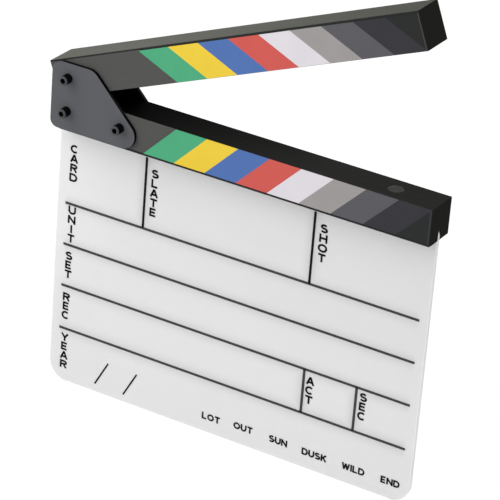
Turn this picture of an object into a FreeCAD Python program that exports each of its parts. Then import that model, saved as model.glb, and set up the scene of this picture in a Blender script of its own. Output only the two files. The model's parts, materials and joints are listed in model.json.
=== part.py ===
# Clapperboard: an acrylic writing board let into a square stick, with a clap stick hinged above it.
# X runs along the sticks with the hinge at -X, the written front faces -Y, and +Z is up.
# The origin is the middle of the board's bottom edge. Lengths are millimetres, angles degrees.
import FreeCAD
import Part
import Sketcher
import math
import os

# Driving lengths
LENGTHS = {
    # The two square sticks
    "stick_length": 300.0,
    "stick_height": 27.3,
    "stick_depth": 27.0,
    "stick_edge_break": 0.2,
    "lower_heel_setback": 1.2,
    "lower_heel_corner": 5.0,
    # Writing board, its tongue in the lower stick's slot, and the screws that hold it there
    "board_drop": 204.4,
    "board_end_inset": 0.2,
    "board_thickness": 3.0,
    "board_corner_radius": 15.0,
    "tongue_height": 8.5,
    "tongue_corner_radius": 6.0,
    "slot_clearance": 0.1,
    "board_screw_inset": 20.0,
    "board_screw_cover": 6.0,
    "board_screw_diameter": 2.5,
    "board_screw_head_diameter": 5.0,
    "board_screw_head_height": 1.8,
    "board_screw_head_round": 0.7,
    "board_screw_point": 2.0,
    "cross_recess_width": 0.8,
    "cross_recess_span": 3.0,
    "cross_recess_depth": 1.0,
    "screw_clearance": 0.1,
    # Hinge plates, one outline for both: heel at the left end, cut off above to keep under the open stick's
    # top, and a slanted right edge down to the toe
    "plate_thickness": 2.5,
    "plate_lift": 1.6,
    "plate_pivot_margin": 11.4,
    "plate_base_length": 84.2,
    "plate_top_length": 34.1,
    "plate_heel_radius": 6.0,
    "plate_heel_cut": 2.8,
    "plate_shoulder_radius": 10.5,
    "plate_toe_radius": 10.2,
    "plate_edge_break": 0.2,
    # Hinge pivot and its spacers, and the two bolts that hold the plates on the lower stick
    "pivot_inset": 13.5,
    "pivot_rise": 13.8,
    "spacer_thickness": 0.2,
    "spacer_diameter": 9.0,
    "pivot_play": 0.05,
    "running_clearance": 0.05,
    "closed_gap": 0.2,
    "bush_wall": 1.2,
    "bush_fit": 0.02,
    "plate_bolt_height": 16.2,
    "toe_bolt_setback": 26.6,
    # Socket-head bolts
    "bolt_diameter": 4.0,
    "bolt_hole_clearance": 0.2,
    "bolt_projection": 2.0,
    "bolt_head_diameter": 7.0,
    "bolt_head_height": 7.0,
    "bolt_head_chamfer": 0.5,
    "socket_flats": 3.2,
    "socket_depth": 3.5,
    # Lock nuts and their washers
    "washer_diameter": 9.0,
    "washer_thickness": 0.8,
    "nut_flats": 7.0,
    "nut_hex_height": 3.2,
    "nut_height": 5.0,
    "nut_collar_diameter": 6.2,
    "nut_collar_round": 0.8,
    "thread_clearance": 0.05,
    # Closing magnets, let in flush near the free ends of the sticks
    "magnet_inset": 35.0,
    "magnet_diameter": 12.0,
    "magnet_thickness": 3.0,
    "magnet_edge_chamfer": 0.3,
    "magnet_recess": 0.1,
    "magnet_fit": 0.05,
    # Coloured stripes laid on the fronts of the sticks
    "stripe_start": 76.4,
    "stripe_thickness": 0.2,
    "stripe_outer_margin": 1.7,
    "stripe_mating_margin": 0.25,
    "stripe_end_margin": 0.7,
    # How far cutting sketches reach past what they cut
    "overrun": 1.0,
}
# The clap stick stands open by this angle, in degrees
OPENING_ANGLE = 22.0
STRIPE_COLOURS = (
    "green", "yellow", "blue", "red", "white", "light_grey", "mid_grey", "dark_grey", "black"
)
BOARD_SCREW_COUNT = 3
# The cone that bevels a nut's corners: how far it reaches, of half the width across flats, and its slope
NUT_BEVEL_REACH_SHARE = 1.3
NUT_BEVEL_SLOPE_SHARE = 0.577
# Points closer than this are the same point
SAME_POINT = 1e-6

doc = FreeCAD.newDocument("clapperboard")
sheet = doc.addObject("Spreadsheet::Sheet", "Sizes")
for row, (alias, number) in enumerate(list(LENGTHS.items()) + [("opening_angle", OPENING_ANGLE)], 1):
    sheet.set(f"A{row}", str(number))
    sheet.setAlias(f"A{row}", alias)
doc.recompute()

# Places that several pieces share, as expressions over the sheet
STICK_LEFT = "-Sizes.stick_length / 2"
HALF_DEPTH = "Sizes.stick_depth / 2"
PLATE_OUTER = f"({HALF_DEPTH} + Sizes.plate_thickness)"
NUT_SEAT = f"({PLATE_OUTER} + Sizes.washer_thickness)"
BOLT_RADIUS = "Sizes.bolt_diameter / 2"
BOLT_HOLE_RADIUS = f"({BOLT_RADIUS} + Sizes.bolt_hole_clearance)"
BUSH_BORE_RADIUS = f"({BOLT_RADIUS} + Sizes.running_clearance)"
BUSH_RADIUS = f"({BUSH_BORE_RADIUS} + Sizes.bush_wall)"
UPPER_DEPTH = "(Sizes.stick_depth - 2 * (Sizes.spacer_thickness + Sizes.pivot_play))"
UPPER_UNDERSIDE = "(Sizes.closed_gap - Sizes.pivot_rise)"
UPPER_TOP = f"({UPPER_UNDERSIDE} + Sizes.stick_height)"
MAGNET_HOLE_RADIUS = "(Sizes.magnet_diameter / 2 + Sizes.magnet_fit)"
MAGNET_HOLE_DEPTH = "(Sizes.magnet_thickness + Sizes.magnet_recess)"
MAGNET_PLACE = "(Sizes.stick_length - Sizes.magnet_inset)"
TONGUE_MIDDLE = "Sizes.tongue_height / 2"
BOARD_SCREW_LENGTH = "(Sizes.stick_depth - Sizes.board_screw_cover)"
BOARD_SCREW_HOLE_RADIUS = "(Sizes.board_screw_diameter / 2 + Sizes.screw_clearance)"
# Bolt stations, measured from the lower stick's left end and underside
PIVOT = ("Sizes.pivot_inset", "(Sizes.stick_height + Sizes.pivot_rise)")
HEEL = ("Sizes.pivot_inset", "Sizes.plate_bolt_height")
TOE = ("(Sizes.plate_base_length - Sizes.toe_bolt_setback)", "Sizes.plate_bolt_height")

# How a sketch numbers its own axes, and the points of its lines and arcs
X_AXIS, Y_AXIS = range(-1, -3, -1)
ORIGIN = X_AXIS
START, END, CENTRE = range(1, 4)


def new_body(label):
    """An empty body that carries the name of the piece."""
    body = doc.addObject("PartDesign::Body", label)
    body.Label = label
    return body


def new_sketch(body, plane_role, lift="0"):
    """A sketch on one of the body's own planes, lifted along that plane's normal."""
    plane = next(item for item in body.Origin.OriginFeatures if item.Role == plane_role)
    sketch = body.newObject("Sketcher::SketchObject", f"{body.Label}_sketch")
    sketch.AttachmentSupport = (plane, [""])
    sketch.MapMode = "FlatFace"
    sketch.setExpression("AttachmentOffset.Base.z", lift)
    return sketch


def hold_point(sketch, geometry, end, place):
    """Holds one point of a sketch at two expressions measured from the sketch's origin."""
    for kind, axis, expression in (("DistanceX", Y_AXIS, place[0]), ("DistanceY", X_AXIS, place[1])):
        if expression == "0":
            sketch.addConstraint(Sketcher.Constraint("PointOnObject", geometry, end, axis))
            continue
        value = float(sketch.evalExpression(expression))
        rule = Sketcher.Constraint(kind, ORIGIN, START, geometry, end, value)
        index = sketch.addConstraint(rule)
        sketch.setExpression(f"Constraints[{index}]", expression)


def point_at(sketch, place):
    """The present position of a pair of expressions in a sketch."""
    return FreeCAD.Vector(*[float(sketch.evalExpression(item)) for item in place], 0)


def draw_polygon(sketch, corners):
    """A closed outline of straight lines through corners given as pairs of expressions."""
    points = [point_at(sketch, corner) for corner in corners]
    first = sketch.GeometryCount
    count = len(corners)
    for step in range(count):
        sketch.addGeometry(Part.LineSegment(points[step], points[(step + 1) % count]), False)
    for step in range(count):
        following = first + (step + 1) % count
        sketch.addConstraint(Sketcher.Constraint("Coincident", first + step, END, following, START))
        hold_point(sketch, first + step, START, corners[step])


def draw_rectangle(sketch, left, right, bottom, top):
    """A rectangle given by expressions for its four sides."""
    draw_polygon(sketch, [(left, bottom), (right, bottom), (right, top), (left, top)])


def draw_circle(sketch, centre, radius):
    """A circle whose centre and radius are expressions."""
    value = float(sketch.evalExpression(radius))
    circle = Part.Circle(point_at(sketch, centre), FreeCAD.Vector(0, 0, 1), value)
    geometry = sketch.addGeometry(circle, False)
    hold_point(sketch, geometry, CENTRE, centre)
    index = sketch.addConstraint(Sketcher.Constraint("Radius", geometry, value))
    sketch.setExpression(f"Constraints[{index}]", radius)


def draw_hexagon(sketch, flats):
    """A regular hexagon about the sketch's origin, given by its width across flats."""
    corner, half_corner, half_flats = f"{flats} / sqrt(3)", f"{flats} / sqrt(3) / 2", f"{flats} / 2"
    upper = [(corner, "0"), (half_corner, half_flats), (f"-{half_corner}", half_flats)]
    lower = [(f"-{corner}", "0"), (f"-{half_corner}", f"-{half_flats}"), (half_corner, f"-{half_flats}")]
    draw_polygon(sketch, upper + lower)


def pad(body, sketch, length, side="One side"):
    """Material added along the sketch's normal."""
    feature = body.newObject("PartDesign::Pad", f"{body.Label}_pad")
    feature.Profile = sketch
    feature.SideType = side
    feature.setExpression("Length", length)
    doc.recompute()
    return feature


def pocket(body, sketch, depth=None):
    """Material removed against the sketch's normal, or right through both ways if no depth is given."""
    volume_before = body.Shape.Volume
    feature = body.newObject("PartDesign::Pocket", f"{body.Label}_pocket")
    feature.Profile = sketch
    if depth is None:
        feature.SideType = "Symmetric"
        feature.Type = "ThroughAll"
    else:
        feature.setExpression("Length", depth)
    doc.recompute()
    if body.Shape.Volume >= volume_before:
        raise RuntimeError(f"a pocket of {body.Label} removes nothing")
    return feature


def turn(body, sketch, kind="PartDesign::Revolution"):
    """Material added or, as a groove, removed by one full turn about the sketch's upright axis."""
    volume_before = body.Shape.Volume if body.Tip else 0
    feature = body.newObject(kind, f"{body.Label}_turn")
    feature.Profile = sketch
    feature.ReferenceAxis = (sketch, ["V_Axis"])
    doc.recompute()
    if kind == "PartDesign::Groove" and body.Shape.Volume >= volume_before:
        raise RuntimeError(f"a groove of {body.Label} removes nothing")
    return feature


def dress(body, kind, edges, size_name, size):
    """A fillet or chamfer on the named edges of the body's latest feature."""
    base = body.Tip
    feature = body.newObject(kind, f"{body.Label}_edge")
    feature.Base = (base, edges)
    feature.setExpression(size_name, size)
    doc.recompute()
    return feature


def edges_through(body, corners):
    """Names of the edges that run through the thickness of a flat piece at corners of its outline."""
    wanted = [point_at(body, corner) for corner in corners]
    names = []
    for number, edge in enumerate(body.Tip.Shape.Edges, 1):
        ends = [vertex.Point for vertex in edge.Vertexes]
        flat = [FreeCAD.Vector(end.x, end.z, 0) for end in ends]
        if any(all(spot.isEqual(place, SAME_POINT) for spot in flat) for place in wanted):
            names.append(f"Edge{number}")
    return names


def rim_edges(body, showing):
    """Names of the edges round the front or the rear face of a flat piece, picked by min or max."""
    face_depth = showing(vertex.Point.y for vertex in body.Tip.Shape.Vertexes)
    names = []
    for number, edge in enumerate(body.Tip.Shape.Edges, 1):
        if all(abs(vertex.Point.y - face_depth) < SAME_POINT for vertex in edge.Vertexes):
            names.append(f"Edge{number}")
    return names


def place(piece, x, y, z):
    """Sets a piece at expressions for its three coordinates."""
    for axis, expression in (("x", x), ("y", y), ("z", z)):
        piece.setExpression(f"Placement.Base.{axis}", expression)


def place_at_station(piece, station, depth):
    """Sets a piece at a bolt station of the hinge."""
    place(piece, f"{STICK_LEFT} + {station[0]}", depth, f"Sizes.board_drop + {station[1]}")


def hang_on_pivot(piece):
    """Sets a piece of the clap stick, drawn closed about the pivot, at the pivot and swings it open."""
    piece.Placement = FreeCAD.Placement(
        FreeCAD.Vector(), FreeCAD.Rotation(FreeCAD.Vector(0, -1, 0), OPENING_ANGLE)
    )
    piece.setExpression("Placement.Rotation.Angle", "Sizes.opening_angle")
    place_at_station(piece, PIVOT, "0")


def group(label, pieces):
    """Identical fasteners that share one node, each still a solid of its own."""
    node = doc.addObject("Part::Compound", label)
    node.Label = label
    node.Links = pieces
    return node


# Writing board: a sheet with rounded corners, and screw holes along the tongue that its top edge forms


def board_screw_places():
    """Places along the stick, evenly spread between the hinge plate's toe and the free end."""
    first = "(Sizes.plate_base_length + Sizes.board_screw_inset)"
    span = f"(Sizes.stick_length - Sizes.board_screw_inset - {first})"
    return [f"({first} + {span} * {step} / {BOARD_SCREW_COUNT - 1})" for step in range(BOARD_SCREW_COUNT)]


def make_writing_board():
    body = new_body("writing_board")
    half_width = "(Sizes.stick_length / 2 - Sizes.board_end_inset)"
    top = "(Sizes.board_drop + Sizes.tongue_height)"
    foot = [(f"-{half_width}", "0"), (half_width, "0")]
    tongue = [(half_width, top), (f"-{half_width}", top)]
    outline = new_sketch(body, "XZ_Plane")
    draw_polygon(outline, foot + tongue)
    pad(body, outline, "Sizes.board_thickness", "Symmetric")
    for corners, radius in ((foot, "Sizes.board_corner_radius"), (tongue, "Sizes.tongue_corner_radius")):
        dress(body, "PartDesign::Fillet", edges_through(body, corners), "Radius", radius)
    holes = new_sketch(body, "XZ_Plane")
    for along in board_screw_places():
        centre = (f"{STICK_LEFT} + {along}", f"Sizes.board_drop + {TONGUE_MIDDLE}")
        draw_circle(holes, centre, BOARD_SCREW_HOLE_RADIUS)
    pocket(body, holes)
    return body


# Sticks: square bars with eased edges, then the cuts of each


def make_bar(label, start, underside, depth):
    """A plain bar along X whose section sits on its underside, with all its edges eased."""
    body = new_body(label)
    section = new_sketch(body, "YZ_Plane", start)
    draw_rectangle(section, f"-{depth} / 2", f"{depth} / 2", underside, f"{underside} + Sizes.stick_height")
    pad(body, section, "Sizes.stick_length")
    every_edge = [f"Edge{number}" for number in range(1, len(body.Tip.Shape.Edges) + 1)]
    dress(body, "PartDesign::Chamfer", every_edge, "Size", "Sizes.stick_edge_break")
    return body


def make_lower_stick():
    body = make_bar("lower_stick", "0", "0", "Sizes.stick_depth")
    # The heel is sawn back and its lower corner cut off, so that it stays behind the plates' rounded heels
    heel = new_sketch(body, "XZ_Plane")
    above = "(Sizes.stick_height + Sizes.overrun)"
    draw_polygon(heel, [
        ("-Sizes.overrun", "-Sizes.overrun"),
        ("(Sizes.lower_heel_setback + Sizes.lower_heel_corner + Sizes.overrun)", "-Sizes.overrun"),
        ("Sizes.lower_heel_setback", "Sizes.lower_heel_corner"),
        ("Sizes.lower_heel_setback", above),
        ("-Sizes.overrun", above),
    ])
    pocket(body, heel)
    slot_side = "(Sizes.board_thickness / 2 + Sizes.slot_clearance)"
    slot_top = "(Sizes.tongue_height + Sizes.slot_clearance)"
    slot = new_sketch(body, "YZ_Plane")
    draw_rectangle(slot, f"-{slot_side}", slot_side, "-Sizes.overrun", slot_top)
    pocket(body, slot)
    bolt_holes = new_sketch(body, "XZ_Plane")
    draw_circle(bolt_holes, HEEL, BOLT_HOLE_RADIUS)
    draw_circle(bolt_holes, TOE, BOLT_HOLE_RADIUS)
    pocket(body, bolt_holes)
    magnet_hole = new_sketch(body, "XY_Plane", "Sizes.stick_height")
    draw_circle(magnet_hole, (MAGNET_PLACE, "0"), MAGNET_HOLE_RADIUS)
    pocket(body, magnet_hole, MAGNET_HOLE_DEPTH)
    # The screw holes are drilled from the rear and stop inside the front cheek
    hole_end = f"({BOARD_SCREW_LENGTH} + Sizes.screw_clearance - {HALF_DEPTH})"
    screw_holes = new_sketch(body, "XZ_Plane", hole_end)
    for along in board_screw_places():
        draw_circle(screw_holes, (along, TONGUE_MIDDLE), BOARD_SCREW_HOLE_RADIUS)
    pocket(body, screw_holes, f"{BOARD_SCREW_LENGTH} + Sizes.overrun")
    place(body, STICK_LEFT, "0", "Sizes.board_drop")
    return body


def make_upper_stick():
    body = make_bar("upper_stick", "-Sizes.pivot_inset", UPPER_UNDERSIDE, UPPER_DEPTH)
    # The heel is cut back to an arc about the pivot, so that it clears the lower stick as it swings
    heel = new_sketch(body, "XZ_Plane")
    swing = f"(-{UPPER_UNDERSIDE})"
    reach = "(Sizes.pivot_inset + Sizes.stick_height + Sizes.overrun)"
    draw_heel_cut(heel, swing, reach)
    pocket(body, heel)
    bore = new_sketch(body, "XZ_Plane")
    draw_circle(bore, ("0", "0"), f"{BUSH_RADIUS} + Sizes.bush_fit")
    pocket(body, bore)
    magnet_hole = new_sketch(body, "XY_Plane", f"{UPPER_UNDERSIDE} + {MAGNET_HOLE_DEPTH}")
    draw_circle(magnet_hole, (f"{MAGNET_PLACE} - Sizes.pivot_inset", "0"), MAGNET_HOLE_RADIUS)
    pocket(body, magnet_hole, f"{MAGNET_HOLE_DEPTH} + Sizes.overrun")
    hang_on_pivot(body)
    return body


def draw_heel_cut(sketch, swing, reach):
    """The corner below and left of the pivot, outside the circle that the heel may sweep."""
    radius = float(sketch.evalExpression(swing))
    quarter = Part.Circle(FreeCAD.Vector(), FreeCAD.Vector(0, 0, 1), radius)
    arc = sketch.addGeometry(Part.ArcOfCircle(quarter, math.radians(180), math.radians(270)), False)
    sketch.addConstraint(Sketcher.Constraint("Coincident", arc, CENTRE, ORIGIN, START))
    index = sketch.addConstraint(Sketcher.Constraint("Radius", arc, radius))
    sketch.setExpression(f"Constraints[{index}]", swing)
    corners = [("0", f"-{swing}"), ("0", f"-{reach}"), (f"-{reach}", f"-{reach}"), (f"-{reach}", "0")]
    points = [point_at(sketch, corner) for corner in corners] + [FreeCAD.Vector(-radius, 0, 0)]
    lines = [
        sketch.addGeometry(Part.LineSegment(points[step], points[step + 1]), False) for step in range(len(corners))
    ]
    sketch.addConstraint(Sketcher.Constraint("Coincident", arc, END, lines[0], START))
    sketch.addConstraint(Sketcher.Constraint("PointOnObject", lines[0], START, Y_AXIS))
    for step in range(1, len(lines)):
        sketch.addConstraint(Sketcher.Constraint("Coincident", lines[step - 1], END, lines[step], START))
        hold_point(sketch, lines[step], START, corners[step])
    sketch.addConstraint(Sketcher.Constraint("Coincident", lines[-1], END, arc, START))
    sketch.addConstraint(Sketcher.Constraint("PointOnObject", arc, START, X_AXIS))


# Hinge plates: one laser-cut outline, used in front and behind


def make_hinge_plate(label, rear_face, showing):
    """A plate drawn from its rear face forwards, with a hole for each bolt and its outer rim eased."""
    body = new_body(label)
    plate_top = f"({PIVOT[1]} + Sizes.plate_pivot_margin)"
    heel_low, toe = ("0", "Sizes.plate_lift"), ("Sizes.plate_base_length", "Sizes.plate_lift")
    shoulder = ("Sizes.plate_top_length", plate_top)
    cut_high = ("Sizes.plate_heel_cut / tan(Sizes.opening_angle)", plate_top)
    cut_low = ("0", f"{plate_top} - Sizes.plate_heel_cut")
    outline = new_sketch(body, "XZ_Plane")
    draw_polygon(outline, [heel_low, toe, shoulder, cut_high, cut_low])
    pad(body, outline, "Sizes.plate_thickness")
    for corners, radius in (
        ([heel_low, cut_high, cut_low], "Sizes.plate_heel_radius"),
        ([shoulder], "Sizes.plate_shoulder_radius"),
        ([toe], "Sizes.plate_toe_radius"),
    ):
        dress(body, "PartDesign::Fillet", edges_through(body, corners), "Radius", radius)
    dress(body, "PartDesign::Chamfer", rim_edges(body, showing), "Size", "Sizes.plate_edge_break")
    holes = new_sketch(body, "XZ_Plane")
    for station in (PIVOT, HEEL, TOE):
        draw_circle(holes, station, BOLT_HOLE_RADIUS)
    pocket(body, holes)
    place(body, STICK_LEFT, rear_face, "Sizes.board_drop")
    return body


# Bolts, nuts and washers of the hinge


def make_bolt(label, station):
    """A bolt turned about its own axis, head to the front, long enough for plates, stick, washer and nut."""
    body = new_body(label)
    head_radius, chamfer = "Sizes.bolt_head_diameter / 2", "Sizes.bolt_head_chamfer"
    head_top = "-Sizes.bolt_head_height"
    tip = f"({PLATE_OUTER} + {NUT_SEAT} + Sizes.nut_height + Sizes.bolt_projection)"
    profile = new_sketch(body, "XY_Plane")
    draw_polygon(
        profile,
        [
            ("0", head_top),
            (f"{head_radius} - {chamfer}", head_top),
            (head_radius, f"{head_top} + {chamfer}"),
            (head_radius, "0"),
            (BOLT_RADIUS, "0"),
            (BOLT_RADIUS, tip),
            ("0", tip),
        ],
    )
    turn(body, profile)
    socket = new_sketch(body, "XZ_Plane", "Sizes.bolt_head_height")
    draw_hexagon(socket, "Sizes.socket_flats")
    pocket(body, socket, "Sizes.socket_depth")
    place_at_station(body, station, f"-{PLATE_OUTER}")
    return body


def make_washer(label, diameter, thickness, station, rear_face):
    """A flat ring on a bolt, drawn from its rear face forwards."""
    body = new_body(label)
    outline = new_sketch(body, "XZ_Plane")
    draw_circle(outline, ("0", "0"), f"{diameter} / 2")
    draw_circle(outline, ("0", "0"), BOLT_HOLE_RADIUS)
    pad(body, outline, thickness)
    place_at_station(body, station, rear_face)
    return body


def make_nut(label, station):
    """A hexagon nut with its outer corners bevelled and the round collar of a locking insert."""
    body = new_body(label)
    hexagon = new_sketch(body, "XZ_Plane", "-Sizes.nut_hex_height")
    draw_hexagon(hexagon, "Sizes.nut_flats")
    pad(body, hexagon, "Sizes.nut_hex_height")
    collar_radius, collar_round = "Sizes.nut_collar_diameter / 2", "Sizes.nut_collar_round"
    collar = new_sketch(body, "XY_Plane")
    draw_polygon(
        collar,
        [
            ("0", "0"),
            (collar_radius, "0"),
            (collar_radius, f"Sizes.nut_height - {collar_round}"),
            (f"{collar_radius} - {collar_round}", "Sizes.nut_height"),
            ("0", "Sizes.nut_height"),
        ],
    )
    turn(body, collar)
    flat_radius = "Sizes.nut_flats / 2"
    reach = f"{flat_radius} * {NUT_BEVEL_REACH_SHARE}"
    drop = f"({reach} - {flat_radius}) * {NUT_BEVEL_SLOPE_SHARE}"
    hex_top = "Sizes.nut_hex_height"
    bevel = new_sketch(body, "XY_Plane")
    draw_polygon(bevel, [(flat_radius, hex_top), (reach, hex_top), (reach, f"{hex_top} - {drop}")])
    turn(body, bevel, "PartDesign::Groove")
    bore = new_sketch(body, "XZ_Plane")
    draw_circle(bore, ("0", "0"), f"{BOLT_RADIUS} + Sizes.thread_clearance")
    pocket(body, bore)
    place_at_station(body, station, NUT_SEAT)
    return body


def make_hinge_hardware():
    """The same bolt, nut and washer at each station, the pivot's apart from the two of the plates."""
    nodes = []
    for name, stations in (("pivot", {"pivot": PIVOT}), ("plate", {"heel": HEEL, "toe": TOE})):
        bolts, nuts, washers = [], [], []
        for spot, station in stations.items():
            bolts.append(make_bolt(f"{spot}_bolt_body", station))
            nuts.append(make_nut(f"{spot}_nut_body", station))
            washer_size = ("Sizes.washer_diameter", "Sizes.washer_thickness")
            washers.append(make_washer(f"{spot}_washer_body", *washer_size, station, NUT_SEAT))
        plural = "s" if len(stations) > 1 else ""
        nodes.append(group(f"{name}_bolt{plural}", bolts))
        nodes.append(group(f"{name}_nut{plural}", nuts))
        nodes.append(group(f"{name}_nut_washer{plural}", washers))
    return nodes


def make_pivot_spacers():
    """Thin washers on the pivot bolt that keep the clap stick off the plates, one on each side."""
    size = ("Sizes.spacer_diameter", "Sizes.spacer_thickness")
    front = make_washer("front_spacer_body", *size, PIVOT, f"Sizes.spacer_thickness - {HALF_DEPTH}")
    rear = make_washer("rear_spacer_body", *size, PIVOT, HALF_DEPTH)
    return group("pivot_spacers", [front, rear])


def make_pivot_bush():
    """The sleeve in the clap stick that turns on the pivot bolt."""
    body = new_body("pivot_bush")
    outline = new_sketch(body, "XZ_Plane")
    draw_circle(outline, ("0", "0"), BUSH_RADIUS)
    draw_circle(outline, ("0", "0"), BUSH_BORE_RADIUS)
    pad(body, outline, UPPER_DEPTH, "Symmetric")
    hang_on_pivot(body)
    return body


# Magnets: discs set just below the faces that meet, with the rim that shows eased


def make_magnet(label, centre, underside, showing):
    """A disc whose upper or lower rim is eased, picked by max or min."""
    body = new_body(label)
    disc = new_sketch(body, "XY_Plane", underside)
    draw_circle(disc, centre, "Sizes.magnet_diameter / 2")
    pad(body, disc, "Sizes.magnet_thickness")
    edges = enumerate(body.Tip.Shape.Edges, 1)
    rims = [(edge.CenterOfMass.z, f"Edge{number}") for number, edge in edges if edge.isClosed()]
    dress(body, "PartDesign::Chamfer", [showing(rims)[1]], "Size", "Sizes.magnet_edge_chamfer")
    return body


def make_magnets():
    lower_underside = f"Sizes.stick_height - {MAGNET_HOLE_DEPTH}"
    lower = make_magnet("lower_magnet", (MAGNET_PLACE, "0"), lower_underside, max)
    place(lower, STICK_LEFT, "0", "Sizes.board_drop")
    upper_centre = (f"{MAGNET_PLACE} - Sizes.pivot_inset", "0")
    upper = make_magnet("upper_magnet", upper_centre, f"{UPPER_UNDERSIDE} + Sizes.magnet_recess", min)
    hang_on_pivot(upper)
    return [lower, upper]


# Screws that hold the board in its slot, driven from the rear


def make_board_screw(number, along):
    body = new_body(f"board_screw_body_{number}")
    shank, head = "Sizes.board_screw_diameter / 2", "Sizes.board_screw_head_diameter / 2"
    head_height, head_round = "Sizes.board_screw_head_height", "Sizes.board_screw_head_round"
    profile = new_sketch(body, "XY_Plane")
    draw_polygon(
        profile,
        [
            ("0", f"-{BOARD_SCREW_LENGTH}"),
            (shank, f"Sizes.board_screw_point - {BOARD_SCREW_LENGTH}"),
            (shank, "0"),
            (head, "0"),
            (f"{head} - {head_round}", head_height),
            ("0", head_height),
        ],
    )
    turn(body, profile)
    arm, half = "Sizes.cross_recess_span / 2", "Sizes.cross_recess_width / 2"
    for across, up in ((arm, half), (half, arm)):
        slot = new_sketch(body, "XZ_Plane", f"Sizes.cross_recess_depth - {head_height}")
        draw_rectangle(slot, f"-{across}", across, f"-{up}", up)
        pocket(body, slot, "Sizes.cross_recess_depth + Sizes.overrun")
    place(body, f"{STICK_LEFT} + {along}", HALF_DEPTH, f"Sizes.board_drop + {TONGUE_MIDDLE}")
    return body


# Coloured stripes: thin slanted patches that meet edge to edge


def make_stripe(label, number, x_shift, outer_edge, mating_edge, front):
    """One patch; each leans by one pitch between the stick's outer edge and the edge where the sticks meet."""
    body = new_body(label)
    pitch = f"((Sizes.stick_length - Sizes.stripe_end_margin - Sizes.stripe_start) / {len(STRIPE_COLOURS)})"
    start, end = (f"(Sizes.stripe_start + {pitch} * {step} - {x_shift})" for step in (number, number + 1))
    corners = [(start, outer_edge), (end, outer_edge), (f"{end} + {pitch}", mating_edge)]
    if number < len(STRIPE_COLOURS) - 1:
        corners.append((f"{start} + {pitch}", mating_edge))
    else:
        corners[-1] = (end, mating_edge)
    patch = new_sketch(body, "XZ_Plane", front)
    draw_polygon(patch, corners)
    pad(body, patch, "Sizes.stripe_thickness")
    return body


def make_stripes():
    nodes = []
    for number, colour in enumerate(STRIPE_COLOURS):
        lower = make_stripe(
            f"lower_stripe_{colour}", number, "0", "Sizes.stripe_outer_margin",
            "Sizes.stick_height - Sizes.stripe_mating_margin", HALF_DEPTH,
        )
        place(lower, STICK_LEFT, "0", "Sizes.board_drop")
        upper = make_stripe(
            f"upper_stripe_{colour}", number, "Sizes.pivot_inset", f"{UPPER_TOP} - Sizes.stripe_outer_margin",
            f"{UPPER_UNDERSIDE} + Sizes.stripe_mating_margin", f"{UPPER_DEPTH} / 2",
        )
        hang_on_pivot(upper)
        nodes += [lower, upper]
    return nodes


nodes = [
    make_writing_board(),
    make_lower_stick(),
    make_upper_stick(),
    make_hinge_plate("front_hinge_plate", f"-{HALF_DEPTH}", min),
    make_hinge_plate("rear_hinge_plate", PLATE_OUTER, max),
    *make_hinge_hardware(),
    make_pivot_spacers(),
    make_pivot_bush(),
    *make_magnets(),
    group("board_screws", [make_board_screw(*item) for item in enumerate(board_screw_places(), 1)]),
    *make_stripes(),
]
doc.recompute()

for item in doc.Objects:
    if "Invalid" in item.State or "Error" in item.State:
        raise RuntimeError(f"{item.Label} failed: {item.State}")
for node in nodes:
    if node.Shape.isNull() or not node.Shape.isValid():
        raise RuntimeError(f"{node.Label} has no valid shape")

os.makedirs("parts", exist_ok=True)
for node in nodes:
    node.Shape.exportStep(f"parts/{node.Label}.step")
    print(node.Label, len(node.Shape.Solids), round(node.Shape.Volume, 1))
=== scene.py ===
import json
import math

import bpy
from mathutils import Matrix, Vector


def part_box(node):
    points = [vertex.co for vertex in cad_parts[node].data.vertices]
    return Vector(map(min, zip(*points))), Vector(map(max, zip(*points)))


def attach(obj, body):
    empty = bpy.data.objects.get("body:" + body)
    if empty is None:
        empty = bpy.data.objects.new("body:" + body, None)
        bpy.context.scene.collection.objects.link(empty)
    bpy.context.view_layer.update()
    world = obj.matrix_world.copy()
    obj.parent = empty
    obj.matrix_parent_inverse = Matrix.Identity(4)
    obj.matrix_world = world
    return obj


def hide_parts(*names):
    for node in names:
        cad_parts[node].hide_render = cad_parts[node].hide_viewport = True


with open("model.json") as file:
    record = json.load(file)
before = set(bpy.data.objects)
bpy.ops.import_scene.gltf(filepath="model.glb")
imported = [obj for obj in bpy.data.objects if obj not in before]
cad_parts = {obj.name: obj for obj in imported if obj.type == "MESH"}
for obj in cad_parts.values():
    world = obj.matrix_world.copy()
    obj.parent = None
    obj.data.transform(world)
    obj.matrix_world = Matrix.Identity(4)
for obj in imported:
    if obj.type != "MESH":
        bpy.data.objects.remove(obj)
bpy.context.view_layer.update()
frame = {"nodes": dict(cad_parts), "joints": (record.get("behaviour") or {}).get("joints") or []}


# Writing board
# The slate itself: one sheet of milky white acrylic, sawn to size, with rounded corners and scraped edges.
# Its top edge is a tongue that stands in the lower stick's slot, where three screws hold it from behind.

MM = 0.001
BOARD_WHITE = (230, 230, 230)
BOARD_WIPED = (227, 227, 227)
BOARD_PAINTED_LIGHT = (233, 233, 233)
BOARD_EDGE_AND_GLOW = (236, 236, 236)
SAWN_FACING = (0.9, 0.5)
PAINTED_LIGHT_CORNERS = (
    {"across": (-150.0, 30.0), "up": (130.0, 75.0)},
    {"across": (-95.0, -145.0), "up": (40.0, 120.0)},
)
SMEAR_WIDTH = 26.0
SMEAR_STRETCH = (0.35, 1.0, 1.0)
SMEAR_SLANT = math.radians(28.0)
SMEAR_SPAN = (0.35, 0.7)
CLOUD_WIDTH = 85.0
CLOUD_SPAN = (0.3, 0.7)
SHEET_RIPPLE_WIDTH = 0.9
SHEET_RIPPLE_DEPTH = 0.006
SHEET_ROUGHNESS = (0.46, 0.30)
SHEET_SHINE = 0.3
GLOW_SHARE = 1.0
GLOW_DEPTH = 1.5
GLOW_SPREAD = (1.0, 1.0, 1.0)
NOISE_SPAN = (0.3, 0.7)


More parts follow.
